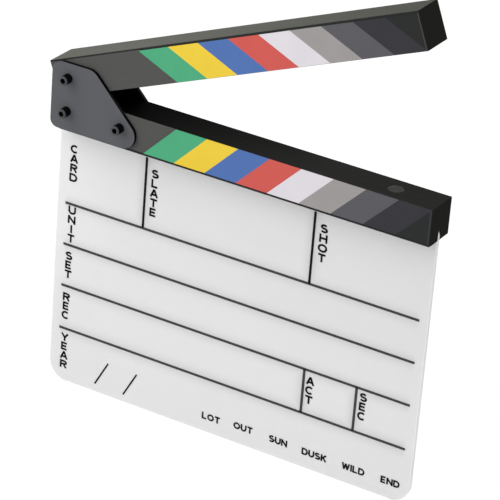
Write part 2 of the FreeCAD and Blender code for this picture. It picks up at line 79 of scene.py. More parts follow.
def tint(red, green, blue):
    """A paint chart's colour, from 0 to 255, as the light values that a shader takes."""
    def lit(step):
        share = step / 255
        return share / 12.92 if share <= 0.04045 else ((share + 0.055) / 1.055) ** 2.4
    return (lit(red), lit(green), lit(blue), 1.0)


def start_finish(name):
    """A new material, its node tree and the shader that the finish is fed into."""
    finish = bpy.data.materials.new(name)
    finish.use_nodes = True
    return finish, finish.node_tree, finish.node_tree.nodes["Principled BSDF"]


def add(tree, kind, sockets, **settings):
    """One more node in the tree. A socket gets a plain value, or the output of another node."""
    node = tree.nodes.new("ShaderNode" + kind)
    for setting, value in settings.items():
        setattr(node, setting, value)
    for socket, value in sockets.items():
        if isinstance(value, bpy.types.NodeSocket):
            tree.links.new(value, node.inputs[socket])
        else:
            node.inputs[socket].default_value = value
    return node


def feed(tree, shader, **sockets):
    """Set or link the shader's own sockets, each named with underscores for spaces."""
    for name, value in sockets.items():
        socket = shader.inputs[name.replace("_", " ")]
        if isinstance(value, bpy.types.NodeSocket):
            tree.links.new(value, socket)
        else:
            socket.default_value = value


def turned(tree, vector, turn=(0.0, 0.0, 0.0), scale=(1.0, 1.0, 1.0), shift=(0.0, 0.0, 0.0)):
    """A point on the piece, stretched, turned and shifted before a pattern reads it."""
    sockets = {"Vector": vector, "Rotation": turn, "Scale": scale, "Location": shift}
    return add(tree, "Mapping", sockets).outputs["Vector"]


def axes(tree, vector):
    """A vector's three parts."""
    return add(tree, "SeparateXYZ", {0: vector}).outputs


def cloudy(tree, vector, width, detail=3.0):
    """Soft noise whose patches are about this many millimetres wide."""
    sockets = {"Vector": vector, "Scale": 1 / (width * MM), "Detail": detail}
    return add(tree, "TexNoise", sockets).outputs["Fac"]


def ranged(tree, value, low, high, start=0.0, end=1.0):
    """What runs from low to high is made to run from start to end, and is held there beyond them."""
    sockets = {"Value": value, "From Min": low, "From Max": high, "To Min": start, "To Max": end}
    return add(tree, "MapRange", sockets).outputs["Result"]


def mixed(tree, share, first, second):
    """The first colour where the share is 0, going over to the second where it is 1."""
    return add(tree, "Mix", {0: share, 6: first, 7: second}, data_type="RGBA").outputs[2]


def times(tree, first, second):
    """Two shares multiplied, so that a place has to be in both."""
    return add(tree, "Math", {0: first, 1: second}, operation="MULTIPLY").outputs[0]


def most(tree, shares):
    """The largest of several shares, so that a place has to be in only one."""
    largest = shares[0]
    for share in shares[1:]:
        largest = add(tree, "Math", {0: largest, 1: share}, operation="MAXIMUM").outputs[0]
    return largest


def size_of(tree, value):
    """A value without its sign."""
    return add(tree, "Math", {0: value}, operation="ABSOLUTE").outputs[0]


def embossed(tree, height, depth, under=None):
    """The surface raised by a pattern, up to this many millimetres, over an earlier relief if any."""
    sockets = {"Height": height, "Distance": depth * MM, "Strength": 1.0}
    if under is not None:
        sockets["Normal"] = under
    return add(tree, "Bump", sockets).outputs["Normal"]


def roughen(tree, shader, pattern, roughness, span=NOISE_SPAN):
    """Let the roughness run from one value to another over the span that a noise pattern covers."""
    feed(tree, shader, Roughness=ranged(tree, pattern, *span, *roughness))


def dress(finish, *nodes):
    """Give the named pieces of the frame this finish."""
    for node in nodes:
        piece = frame["nodes"][node]
        piece.data.materials.clear()
        piece.data.materials.append(finish)


acrylic, tree, shader = start_finish("milky_acrylic")
place = add(tree, "TexCoord", {}).outputs
smear_point = turned(tree, place["Object"], (0.0, SMEAR_SLANT, 0.0), SMEAR_STRETCH)
smear = cloudy(tree, smear_point, SMEAR_WIDTH, detail=5.0)
cloud = cloudy(tree, place["Object"], CLOUD_WIDTH)
wiped = times(tree, ranged(tree, smear, *SMEAR_SPAN), ranged(tree, cloud, *CLOUD_SPAN))
face_white = mixed(tree, wiped, tint(*BOARD_WHITE), tint(*BOARD_WIPED))

# Two corners are drawn a little whiter, to bring the render's tone closer to the photograph's there
# The whiter corners are painted light, put into the sheet's colour
spot = axes(tree, place["Object"])
corners = []
for corner in PAINTED_LIGHT_CORNERS:
    across = ranged(tree, spot["X"], *(edge * MM for edge in corner["across"]))
    up = ranged(tree, spot["Z"], *(edge * MM for edge in corner["up"]))
    corners.append(times(tree, across, up))
face_white = mixed(tree, most(tree, corners), face_white, tint(*BOARD_PAINTED_LIGHT))

# The edges are scraped, and drawn whiter than the face as painted light for the glow of the milky sheet's
# edges
sawn = ranged(tree, size_of(tree, axes(tree, place["Normal"])["Y"]), *SAWN_FACING)
ripple = cloudy(tree, place["Object"], SHEET_RIPPLE_WIDTH)
feed(tree, shader, Base_Color=mixed(tree, sawn, face_white, tint(*BOARD_EDGE_AND_GLOW)))
roughen(tree, shader, smear, SHEET_ROUGHNESS)
feed(tree, shader, Normal=embossed(tree, ripple, SHEET_RIPPLE_DEPTH), Specular_IOR_Level=SHEET_SHINE)
feed(tree, shader, Subsurface_Weight=GLOW_SHARE)
feed(tree, shader, Subsurface_Radius=GLOW_SPREAD, Subsurface_Scale=GLOW_DEPTH * MM)
dress(acrylic, "writing_board")


# Printed form
# The ruled boxes and their captions, screen-printed on the front of the board: grey rules, black words.
# The ink stands a few hundredths of a millimetre proud and is a little uneven, as a screen leaves it.

INK_THICKNESS = 0.05
INK_SUNK = 0.01
INK_DARK = (22, 22, 23)
INK_RULE = (65, 65, 67)
INK_THIN_LIFT = 40
INK_THIN_SHARE = 0.35
INK_THIN_SPAN = (0.5, 0.8)
INK_GRAIN_WIDTH = 0.35
INK_GRAIN_DEPTH = 0.0125
INK_ROUGHNESS = (0.42, 0.6)
INK_SHINE = 0.05
RULE_WIDTH = 1.9
TOP_POST_WIDTH = 1.9
TOP_POST_END = 197.6
LOW_POST_WIDTH = 2.0
SLASH_WIDTH = 1.2
FORM_LEFT, FORM_RIGHT = -143.0, 143.1
FORM_ROWS = (142.6, 110.0, 76.9, 42.4)
TOP_ROW_POSTS = (-77.65, 57.6)
LOW_ROW_POSTS = (60.1, 101.65)
SLASH_TOPS = ((-99.5, 26.1), (-74.95, 25.6))
SLASH_RUN, SLASH_DROP = 10.5, 19.9
CAPTION_HEIGHT = 6.5
CAPTION_PITCH = 7.4
CAPTION_STROKE = 1.5
CAPTION_BREADTH = 1.15
FOOT_HEIGHT = 5.5
FOOT_STROKE = 1.3
FOOT_BREADTH = 1.0
FOOT_GAP = 0.3
MITRE_LIMIT = 1.6
BOW_STEPS = 10
STACKED_CAPTIONS = (
    ("CARD", -137.5, 174.7), ("SLATE", -70.2, 171.9), ("SHOT", 65.3, 175.9),
    ("UNIT", -137.0, 126.8), ("SET", -137.8, 94.1), ("REC", -138.1, 60.7), ("YEAR", -137.8, 24.1),
    ("ACT", 65.5, 61.7), ("SEC", 107.5, 63.4),
)
FOOT_CAPTIONS = (
    ("LOT", -11.0, 12.5), ("OUT", 15.6, 13.8), ("SUN", 44.4, 13.5),
    ("DUSK", 73.8, 12.8), ("WILD", 105.1, 12.9), ("END", 134.5, 13.2),
)
LINE_SHADE_GREY = (213, 213, 213)
LINE_SHADE_REACH = 10.0
LINE_SHADE_ROW_BLUR = 2.0
LINE_SHADE_POST_BLUR = 1.0
LINE_SHADE_FACING = (-0.5, -0.9)

board_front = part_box("writing_board")[0].y
ink_back = board_front + INK_SUNK * MM
ink_face = board_front - INK_THICKNESS * MM


def bow(across, up, half_width, half_height, start, end):
    """Points along part of an oval, from one angle to another in degrees, counted from the right."""
    points = []
    for step in range(BOW_STEPS + 1):
        angle = math.radians(start + (end - start) * step / BOW_STEPS)
        points.append((across + half_width * math.cos(angle), up + half_height * math.sin(angle)))
    return points


# A letter is its breadth, as a share of its height, and its pen strokes in a box one wide and one tall
ALPHABET = {
    "A": (0.92, [[(0.0, -0.1), (0.5, 1.1)], [(0.5, 1.1), (1.0, -0.1)], [(0.16, 0.28), (0.84, 0.28)]]),
    "C": (0.95, [bow(0.5, 0.5, 0.5, 0.5, 48, 312)]),
    "D": (0.90, [[(0.0, 0.0), (0.0, 1.0)] + bow(0.45, 0.5, 0.55, 0.5, 90, -90) + [(-0.1, 0.0)]]),
    "E": (0.72, [[(1.0, 1.0), (0.0, 1.0), (0.0, 0.0), (1.0, 0.0)], [(0.0, 0.5), (0.9, 0.5)]]),
    "H": (0.85, [[(0.0, -0.14), (0.0, 1.14)], [(1.0, -0.14), (1.0, 1.14)], [(0.0, 0.5), (1.0, 0.5)]]),
    "I": (0.05, [[(0.5, -0.14), (0.5, 1.14)]]),
    "K": (0.82, [[(0.0, -0.14), (0.0, 1.14)], [(1.0, 1.1), (0.0, 0.36)], [(0.34, 0.6), (1.0, -0.1)]]),
    "L": (0.68, [[(0.0, 1.14), (0.0, 0.0), (1.1, 0.0)]]),
    "N": (0.88, [[(0.0, -0.14), (0.0, 1.14)], [(0.0, 1.0), (1.0, 0.0)], [(1.0, -0.14), (1.0, 1.14)]]),
    "O": (1.05, [bow(0.5, 0.5, 0.5, 0.5, 90, 460)]),
    "R": (0.80, [[(0.0, -0.14), (0.0, 1.0)] + bow(0.5, 0.75, 0.5, 0.25, 90, -90) + [(0.0, 0.5)],
                 [(0.5, 0.5), (1.0, -0.1)]]),
    "S": (0.78, [bow(0.5, 0.76, 0.46, 0.24, 35, 262) + bow(0.5, 0.26, 0.5, 0.26, 82, -150)]),
    "T": (0.85, [[(-0.08, 1.0), (1.08, 1.0)], [(0.5, 1.0), (0.5, -0.14)]]),
    "U": (0.86, [[(0.0, 1.14), (0.0, 0.42)] + bow(0.5, 0.42, 0.5, 0.42, 180, 360) + [(1.0, 1.14)]]),
    "W": (1.25, [[(0.0, 1.1), (0.25, -0.1)], [(0.25, -0.1), (0.5, 1.0)],
                 [(0.5, 1.0), (0.75, -0.1)], [(0.75, -0.1), (1.0, 1.1)]]),
    "Y": (0.90, [[(0.0, 1.1), (0.5, 0.45), (1.0, 1.1)], [(0.5, 0.5), (0.5, -0.14)]]),
}


def inked(line, width):
    """A pen stroke along (x, z) points in millimetres, mitred at its corners, with a front and a back."""
    sides = ([], [])
    for step, point in enumerate(line):
        here = Vector(point)
        ways = []
        if step > 0:
            ways.append((here - Vector(line[step - 1])).normalized())
        if step < len(line) - 1:
            ways.append((Vector(line[step + 1]) - here).normalized())
        along = sum(ways, Vector((0.0, 0.0))).normalized()
        aside = Vector((-along.y, along.x))
        reach = width / 2 / max(abs(along.dot(ways[0])), 1 / MITRE_LIMIT)
        sides[0].append(here - aside * reach)
        sides[1].append(here + aside * reach)
    outline = sides[0] + sides[1][::-1]
    count = len(outline)
    points = [(spot.x * MM, depth, spot.y * MM) for depth in (ink_back, ink_face) for spot in outline]
    faces = []
    for step in range(len(line) - 1):
        quad = (step, step + 1, count - 2 - step, count - 1 - step)
        faces.append([count + corner for corner in quad])
        faces.append(quad[::-1])
    for step in range(count):
        after = (step + 1) % count
        faces.append((step, after, count + after, count + step))
    return points, faces


def lettered(letter, height, stroke, breadth, across, up):
    """The strokes of one letter of this height about its middle, and how broad the letter is."""
    share, strokes = ALPHABET[letter]
    tall = height - stroke
    broad = tall * share * breadth
    shapes = []
    for line in strokes:
        spread = [(across + (x - 0.5) * broad, up + (z - 0.5) * tall) for x, z in line]
        shapes.append(inked(spread, stroke))
    return shapes, broad + stroke


def made(name, points, faces, finish):
    """A new piece with these points and faces, in one finish."""
    mesh = bpy.data.meshes.new(name)
    mesh.from_pydata(points, [], faces)
    mesh.materials.append(finish)
    piece = bpy.data.objects.new(name, mesh)
    bpy.context.scene.collection.objects.link(piece)
    return piece


def printed(name, shapes, ink):
    """One printed piece on the board, made of several shapes."""
    points = []
    faces = []
    for shape, polygons in shapes:
        base = len(points)
        points += shape
        faces += [[base + corner for corner in polygon] for polygon in polygons]
    piece = made(name, points, faces, ink)
    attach(piece, "slate")


def mix_ink(name, shade):
    """Screen ink of one shade, thinner in places, on the smooth sheet."""
    ink, tree, shader = start_finish(name)
    place = add(tree, "TexCoord", {}).outputs["Object"]
    grain = cloudy(tree, place, INK_GRAIN_WIDTH, detail=4.0)
    thin = ranged(tree, grain, *INK_THIN_SPAN, 0.0, INK_THIN_SHARE)
    lighter = [step + INK_THIN_LIFT for step in shade]
    feed(tree, shader, Base_Color=mixed(tree, thin, tint(*shade), tint(*lighter)))
    roughen(tree, shader, grain, INK_ROUGHNESS)
    feed(tree, shader, Normal=embossed(tree, grain, INK_GRAIN_DEPTH), Specular_IOR_Level=INK_SHINE)
    return ink


rules = [inked([(FORM_LEFT, row), (FORM_RIGHT, row)], RULE_WIDTH) for row in FORM_ROWS]
rules += [inked([(post, FORM_ROWS[3]), (post, FORM_ROWS[2])], LOW_POST_WIDTH) for post in LOW_ROW_POSTS]
printed("printed_rules", rules, mix_ink("rule_ink", INK_RULE))

dark_ink = mix_ink("caption_ink", INK_DARK)
bars = [inked([(post, FORM_ROWS[0]), (post, TOP_POST_END)], TOP_POST_WIDTH) for post in TOP_ROW_POSTS]
bars += [inked([(x, z), (x - SLASH_RUN, z - SLASH_DROP)], SLASH_WIDTH) for x, z in SLASH_TOPS]
printed("printed_posts", bars, dark_ink)

letters = []
for word, across, middle in STACKED_CAPTIONS:
    for step, letter in enumerate(word):
        up = middle + ((len(word) - 1) / 2 - step) * CAPTION_PITCH
        letters += lettered(letter, CAPTION_HEIGHT, CAPTION_STROKE, CAPTION_BREADTH, across, up)[0]
for word, across, middle in FOOT_CAPTIONS:
    breadths = [lettered(letter, FOOT_HEIGHT, FOOT_STROKE, FOOT_BREADTH, 0.0, 0.0)[1] for letter in word]
    pen = across - (sum(breadths) + FOOT_GAP * (len(word) - 1)) / 2
    for letter, breadth in zip(word, breadths):
        letters += lettered(letter, FOOT_HEIGHT, FOOT_STROKE, FOOT_BREADTH, pen + breadth / 2, middle)[0]
        pen += breadth + FOOT_GAP
printed("printed_captions", letters, dark_ink)


def less(tree, first, second):
    """The first value less the second."""
    return add(tree, "Math", {0: first, 1: second}, operation="SUBTRACT").outputs[0]


def beside(tree, value, lines):
    """A share that is 1 on the nearest of these lines and fades to nothing on either side of it."""
    gaps = [size_of(tree, less(tree, value, line * MM)) for line in lines]
    return most(tree, [ranged(tree, gap, LINE_SHADE_REACH * MM, 0.0) for gap in gaps])


def past(tree, value, line, blur):
    """A share that rises from 0 to 1 across a line, or falls from 1 to 0 where the blur is negative."""
    return ranged(tree, value, (line - blur) * MM, (line + blur) * MM)


# The photograph shows the sheet dimmer beside the lines, perhaps from light lost under the ink
tree = acrylic.node_tree
shader = tree.nodes["Principled BSDF"]
place = add(tree, "TexCoord", {}).outputs
spot = axes(tree, place["Object"])
in_form = past(tree, size_of(tree, spot["X"]), FORM_RIGHT, -LINE_SHADE_ROW_BLUR)
in_top_row = past(tree, spot["Z"], FORM_ROWS[0], LINE_SHADE_POST_BLUR)
in_low_row = times(tree, past(tree, spot["Z"], FORM_ROWS[2], -LINE_SHADE_POST_BLUR),
                   past(tree, spot["Z"], FORM_ROWS[3], LINE_SHADE_POST_BLUR))
# The dimmer band beside the lines is painted shade in the sheet's colour
line_shade = most(tree, [
    times(tree, beside(tree, spot["Z"], FORM_ROWS), in_form),
    times(tree, beside(tree, spot["X"], TOP_ROW_POSTS), in_top_row),
    times(tree, beside(tree, spot["X"], LOW_ROW_POSTS), in_low_row),
])
in_front = ranged(tree, axes(tree, place["Normal"])["Y"], *LINE_SHADE_FACING)
line_shade = times(tree, times(tree, line_shade, line_shade), in_front)
sheet_white = shader.inputs["Base Color"].links[0].from_socket
feed(tree, shader, Base_Color=mixed(tree, line_shade, sheet_white, tint(*LINE_SHADE_GREY)))


# Sticks
# Two square wooden bars in matte black paint, planed along their length, with the grain showing through.
# Their fronts have a dark grey ground for the stripes. The tops carry painted light and shade, the clap
# stick's greyer.

STICK_BLACK = (42, 42, 41)
STICK_BLACK_STREAK = (40, 40, 39)
HINGE_PAINTED_SHADOW = (2, 2, 2)
HINGE_SHADE = (-92.0, 62.0)
END_BLACK = (33, 33, 31)
EDGE_BLACKS = {"lower": (44, 44, 44), "upper": (46, 48, 47)}
GROUND_GREY = (85, 85, 84)
GROUND_GREY_STREAK = (83, 83, 82)
TOP_PAINTED_LIGHT = (99, 100, 94)
TOP_PAINTED_LIGHT_STREAK = (96, 97, 91)
TOP_PAINTED_LIGHT_DARK = (80, 81, 75)
TOP_PAINTED_LIGHT_FADE = (-80.0, 150.0)
OUTER_MARGIN = 1.75
BARE_MARGINS = {"lower": 1.75, "upper": 1.1}
MATING_MARGIN = 0.2
MARGIN_BLUR = 0.1
CLOSED_GAP = 0.2
GRAIN_WIDTH = 1.1
GRAIN_STRETCH = (0.02, 1.0, 1.0)
GRAIN_DEPTH = 0.003
STREAK_SPAN = (0.4, 0.62)
BRUSH_WIDTH = 0.35
BRUSH_DEPTH = 0.003
CHAFED_GREY = (66, 67, 64)
CHAFE_WIDTH = 7.0
CHAFE_SPAN = (0.5, 0.62)
STICK_ROUGHNESS = (0.5, 0.68)
STICK_SHINE = 0.005
CORE_SPAN = (0.35, 0.65)
TOP_FACING = (0.9, 0.97)
FRONT_FACING = (-0.9, -0.97)
END_FACING = (0.6, 0.8)
LENGTHWISE_FACING = (0.3, 0.1)
EASED_FACING = (0.4, 0.6)

hinge = frame["joints"][0]
pivot = Vector(hinge["pos_m"])
opening = -math.radians(hinge["range_deg"][0])
stick_tilts = {"lower": 0.0, "upper": opening}
lower_low, lower_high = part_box("lower_stick")
stick_height = lower_high.z - lower_low.z
film_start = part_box("lower_stripe_green")[0].x
film_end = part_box("lower_stripe_black")[1].x


def laid_down(tree, place, tilt):
    """Points and directions on a piece as they are when the sticks are shut, for one that stands tilted."""
    shift = pivot - Matrix.Rotation(tilt, 3, "Y") @ pivot
    point = turned(tree, place["Object"], (0.0, tilt, 0.0), shift=shift)
    sockets = {"Vector": place["Normal"], "Rotation": (0.0, tilt, 0.0)}
    facing = add(tree, "Mapping", sockets, vector_type="VECTOR").outputs["Vector"]
    return point, axes(tree, facing)


def lay_ground(tree, spot, stick):
    """The share of a stick's front that has the grey ground, inside its black outer edge and free end."""
    mating, outer = lower_high.z, lower_low.z
    if stick == "upper":
        mating = lower_high.z + CLOSED_GAP * MM
        outer = mating + stick_height
    inwards = math.copysign(MM, mating - outer)
    bare_line = outer + BARE_MARGINS[stick] * inwards
    outer_line = outer + OUTER_MARGIN * inwards
    mating_line = mating - MATING_MARGIN * inwards
    edge_line = ranged(tree, spot["X"], film_start - MARGIN_BLUR * MM, film_start, bare_line, outer_line)
    off_edge = ranged(tree, less(tree, spot["Z"], edge_line), 0.0, MARGIN_BLUR * inwards)
    off_mating = ranged(tree, spot["Z"], mating_line, mating_line - MARGIN_BLUR * inwards)
    off_end = ranged(tree, spot["X"], film_end, film_end - MARGIN_BLUR * MM)
    return times(tree, times(tree, off_edge, off_mating), off_end)


def paint_stick(stick):
    """Stick paint, with the outer edge left black in front. The tops have painted light and shade; the clap
    stick's is greyer.
    """
    finish, tree, shader = start_finish(stick + "_stick_paint")
    point, facing = laid_down(tree, add(tree, "TexCoord", {}).outputs, stick_tilts[stick])
    spot = axes(tree, point)
    grain = cloudy(tree, turned(tree, point, scale=GRAIN_STRETCH), GRAIN_WIDTH, detail=5.0)
    streak = ranged(tree, grain, *STREAK_SPAN)
    edge = tint(*EDGE_BLACKS[stick])
    grey = mixed(tree, streak, tint(*GROUND_GREY), tint(*GROUND_GREY_STREAK))
    black = mixed(tree, streak, tint(*STICK_BLACK), tint(*STICK_BLACK_STREAK))
    # Painted light and shade: the clap stick's top is greyer and darkens towards the free end, and the
    # lower top has painted shadow towards the hinge
    if stick == "upper":
        painted_light_top = mixed(tree, streak, tint(*TOP_PAINTED_LIGHT), tint(*TOP_PAINTED_LIGHT_STREAK))
        painted_fade = ranged(tree, spot["X"], *(end * MM for end in TOP_PAINTED_LIGHT_FADE))
        top = mixed(tree, painted_fade, painted_light_top, tint(*TOP_PAINTED_LIGHT_DARK))
    else:
        painted_fade = ranged(tree, spot["X"], *(end * MM for end in HINGE_SHADE))
        top = mixed(tree, painted_fade, tint(*HINGE_PAINTED_SHADOW), black)
    front = mixed(tree, lay_ground(tree, spot, stick), edge, grey)
    endways = size_of(tree, facing["X"])
    colour = mixed(tree, ranged(tree, facing["Z"], *TOP_FACING), black, top)
    colour = mixed(tree, ranged(tree, facing["Y"], *FRONT_FACING), colour, front)
    colour = mixed(tree, ranged(tree, endways, *END_FACING), colour, tint(*END_BLACK))
    eased = times(tree, ranged(tree, size_of(tree, facing["Y"]), *EASED_FACING),
                  ranged(tree, size_of(tree, facing["Z"]), *EASED_FACING))
    eased = times(tree, ranged(tree, endways, *LENGTHWISE_FACING), eased)
    chafed = ranged(tree, cloudy(tree, point, CHAFE_WIDTH, detail=6.0), *CHAFE_SPAN)
    colour = mixed(tree, eased, colour, mixed(tree, chafed, edge, tint(*CHAFED_GREY)))
    feed(tree, shader, Base_Color=colour)
    roughen(tree, shader, grain, STICK_ROUGHNESS, CORE_SPAN)
    relief = embossed(tree, grain, GRAIN_DEPTH)
    brushed = cloudy(tree, turned(tree, point, scale=GRAIN_STRETCH), BRUSH_WIDTH)
    feed(tree, shader, Normal=embossed(tree, brushed, BRUSH_DEPTH, relief), Specular_IOR_Level=STICK_SHINE)
    return finish


for stick in stick_tilts:
    dress(paint_stick(stick), stick + "_stick")


# Stripes
# Strips of coloured matte film, cut on the slant and stuck edge to edge on the fronts of both sticks.
# The slants run opposite ways, so the stripes meet as chevrons when the sticks close.

FILM_COLOURS = {
    "green": (80, 169, 125),
    "yellow": (235, 203, 66),
    "blue": (83, 115, 176),
    "red": (207, 93, 86),
    "white": (222, 218, 224),
    "light_grey": (158, 154, 153),
    "mid_grey": (93, 92, 97),
    "dark_grey": (58, 57, 62),
    "black": (45, 47, 46),
}
FILM_TEXTURE_WIDTH = 0.3
FILM_TEXTURE_DEPTH = 0.006
FILM_PATCH_WIDTH = 18.0
FILM_PATCH_SPAN = (0.4, 0.65)
FILM_FADE = 0.97
FILM_END_HIGHLIGHTS = {"lower": 1.2, "upper": 0.6}
FILM_END_HIGHLIGHT_GREYS = {"lower": (61, 61, 64), "upper": (80, 81, 80)}
FILM_END_HIGHLIGHT_BLUR = 0.1
FILM_ROUGHNESS = (0.45, 0.6)
FILM_SHINE = 0.05


def cut_film(stick, colour):
    """Matte film of one colour, a little uneven in tone, with a painted highlight along the free end."""
    finish, tree, shader = start_finish(stick + "_film_" + colour)
    place = laid_down(tree, add(tree, "TexCoord", {}).outputs, stick_tilts[stick])[0]
    fresh = tint(*FILM_COLOURS[colour])
    faded = [part * FILM_FADE for part in fresh[:3]] + [1.0]
    patchy = cloudy(tree, place, FILM_PATCH_WIDTH, detail=4.0)
    texture = cloudy(tree, place, FILM_TEXTURE_WIDTH, detail=2.0)
    shade = mixed(tree, ranged(tree, patchy, *FILM_PATCH_SPAN), fresh, faded)
    # A painted highlight, paler than the film, runs along the free end
    highlight_start = film_end - FILM_END_HIGHLIGHTS[stick] * MM
    end_highlight = ranged(tree, axes(tree, place)["X"], highlight_start, highlight_start + FILM_END_HIGHLIGHT_BLUR * MM)
    feed(tree, shader, Base_Color=mixed(tree, end_highlight, shade, tint(*FILM_END_HIGHLIGHT_GREYS[stick])))
    roughen(tree, shader, patchy, FILM_ROUGHNESS, CORE_SPAN)
    feed(tree, shader, Normal=embossed(tree, texture, FILM_TEXTURE_DEPTH), Specular_IOR_Level=FILM_SHINE)
    return finish


for stick in stick_tilts:
    for colour in FILM_COLOURS:
        dress(cut_film(stick, colour), stick + "_stripe_" + colour)


# Magnets
# Two discs of black nickel plate, pressed into round pockets near the free ends of the sticks.
# They hold the sticks shut, and their faces are lightly scuffed from meeting.

MAGNET_PLATE = (32, 33, 28)
MAGNET_SCUFF = (38, 39, 34)
MAGNET_METAL = 0.4
MAGNET_ROUGHNESS = (0.32, 0.5)
MAGNET_SHINE = 0.08
SCUFF_WIDTH = 1.6
SCUFF_DEPTH = 0.01
SCUFF_STRETCH = (1.0, 0.2, 1.0)
SCUFF_SPAN = (0.52, 0.7)

plate_finish, tree, shader = start_finish("magnet_plate")
place = add(tree, "TexCoord", {}).outputs["Object"]
scuff = cloudy(tree, turned(tree, place, scale=SCUFF_STRETCH), SCUFF_WIDTH, detail=6.0)
scuffed = ranged(tree, scuff, *SCUFF_SPAN)
feed(tree, shader, Base_Color=mixed(tree, scuffed, tint(*MAGNET_PLATE), tint(*MAGNET_SCUFF)))
roughen(tree, shader, scuff, MAGNET_ROUGHNESS)
feed(tree, shader, Normal=embossed(tree, scuff, SCUFF_DEPTH))
feed(tree, shader, Metallic=MAGNET_METAL, Specular_IOR_Level=MAGNET_SHINE)
dress(plate_finish, "lower_magnet", "upper_magnet")


# Hinge plates
# A pair of plates cut from 2.5 mm sheet to one outline and baked in a fine matte dark grey coat.
# They clamp the lower stick between them, and the clap stick swings in the gap above it.

COAT_GREY = (92, 93, 97)
COAT_GREY_LOW = (90, 91, 95)
COAT_EDGE_AND_PAINTED_SHADE = (5, 5, 5)
COAT_TEXTURE_WIDTH = 0.28
COAT_TEXTURE_DEPTH = 0.018
COAT_CLOUD_WIDTH = 22.0
COAT_ROUGHNESS = (0.45, 0.62)
COAT_SHINE = 0.08
COAT_FACING = (0.8, 0.95)
COAT_STARTS, COAT_FULL = 1.0, 0.5

coat, tree, shader = start_finish("plate_coat")
place = add(tree, "TexCoord", {}).outputs
speckle = cloudy(tree, place["Object"], COAT_TEXTURE_WIDTH, detail=2.0)
cloud = cloudy(tree, place["Object"], COAT_CLOUD_WIDTH, detail=4.0)
flat = ranged(tree, size_of(tree, axes(tree, place["Normal"])["Y"]), *COAT_FACING)
depth = size_of(tree, axes(tree, place["Object"])["Y"])
plate_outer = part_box("rear_hinge_plate")[1].y
outward = ranged(tree, depth, plate_outer - COAT_STARTS * MM, plate_outer - COAT_FULL * MM)
# The edges are drawn near black, and the inner faces near black as painted shade between the plates and the
# sticks
coat_face = mixed(tree, ranged(tree, cloud, *CORE_SPAN), tint(*COAT_GREY), tint(*COAT_GREY_LOW))
feed(tree, shader, Base_Color=mixed(tree, times(tree, flat, outward), tint(*COAT_EDGE_AND_PAINTED_SHADE), coat_face))
roughen(tree, shader, speckle, COAT_ROUGHNESS)
feed(tree, shader, Normal=embossed(tree, speckle, COAT_TEXTURE_DEPTH), Specular_IOR_Level=COAT_SHINE)
dress(coat, "front_hinge_plate", "rear_hinge_plate")


# Pivot bush and spacers
# A turned brass sleeve in the clap stick runs on the pivot bolt, and a thin nylon washer on each side
# keeps the stick off the plates.

BRASS = (214, 180, 106)
BRASS_DULL = (186, 150, 84)
BRASS_ROUGHNESS = (0.25, 0.42)
TARNISH_WIDTH = 2.0
TURNING_PITCH = 0.25
TURNING_DEPTH = 0.01
TURNING_WANDER = 0.4
WAVE_RATE = 20
NYLON = (48, 48, 48)
NYLON_PALE = (60, 60, 60)
NYLON_ROUGHNESS = (0.45, 0.6)
MOULD_MARK_WIDTH = 0.8
MOULD_MARK_DEPTH = 0.01

brass, tree, shader = start_finish("turned_brass")
place = add(tree, "TexCoord", {}).outputs["Object"]
tarnish = cloudy(tree, place, TARNISH_WIDTH, detail=5.0)
turning_scale = 1 / (TURNING_PITCH * MM) / WAVE_RATE
turning = add(tree, "TexWave", {"Vector": place, "Scale": turning_scale, "Distortion": TURNING_WANDER},
              bands_direction="Y").outputs["Fac"]
feed(tree, shader, Base_Color=mixed(tree, tarnish, tint(*BRASS), tint(*BRASS_DULL)), Metallic=1.0)
roughen(tree, shader, tarnish, BRASS_ROUGHNESS)
feed(tree, shader, Normal=embossed(tree, turning, TURNING_DEPTH))
dress(brass, "pivot_bush")

nylon, tree, shader = start_finish("black_nylon")
place = add(tree, "TexCoord", {}).outputs["Object"]
moulded = cloudy(tree, place, MOULD_MARK_WIDTH, detail=4.0)
feed(tree, shader, Base_Color=mixed(tree, moulded, tint(*NYLON), tint(*NYLON_PALE)))
roughen(tree, shader, moulded, NYLON_ROUGHNESS)
feed(tree, shader, Normal=embossed(tree, moulded, MOULD_MARK_DEPTH))
dress(nylon, "pivot_spacers")


# Bolts
# Three black socket-head bolts go through both plates from the front: the pivot, the heel and the toe.
# Their heads are knurled round the side, and the threads show past the nuts behind.

BOLT_POINTS = 96
BOLT_SHARP_ANGLE = math.radians(30.0)
HEAD_CHAMFER = 0.5
HEAD_DOME = ((0.0, 0.0), (0.35, 0.06), (0.75, 0.26), (1.0, 0.6))
KNURL_DEPTH = 0.14
KNURL_END = 0.35
SOCKET_FLATS = 3.6
SOCKET_DEPTH = 3.5
SOCKET_LIP = 0.08
SHANK_RADIUS = 2.0
THREAD_PITCH = 0.7
THREAD_DEPTH = 0.38
THREAD_LENGTH = 3.6
THREAD_STEPS = 8
TIP_CHAMFER = 0.4
OXIDE = (10, 10, 10)
OXIDE_PAINTED_LIGHT = (75, 76, 78)
OXIDE_STAIN_WIDTH = 1.2
OXIDE_STAIN_DEPTH = 0.008
OXIDE_ROUGHNESS = (0.26, 0.42)
OXIDE_SHINE = 0.05
LIT_END_DEPTH, LIT_END_BLUR = 0.55, 0.2
LIT_END_FACING = (-0.45, -0.6)

pivot_low, pivot_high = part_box("pivot_bolt")
fixed_low, fixed_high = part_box("plate_bolts")
head_radius = (pivot_high.x - pivot_low.x) / 2
plate_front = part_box("front_hinge_plate")[0].y
fixed_height = (fixed_low.z + fixed_high.z) / 2
bolt_stations = {
    "pivot_bolt": [(pivot.x, pivot.z)],
    "plate_bolts": [(fixed_low.x + head_radius, fixed_height), (fixed_high.x - head_radius, fixed_height)],
}


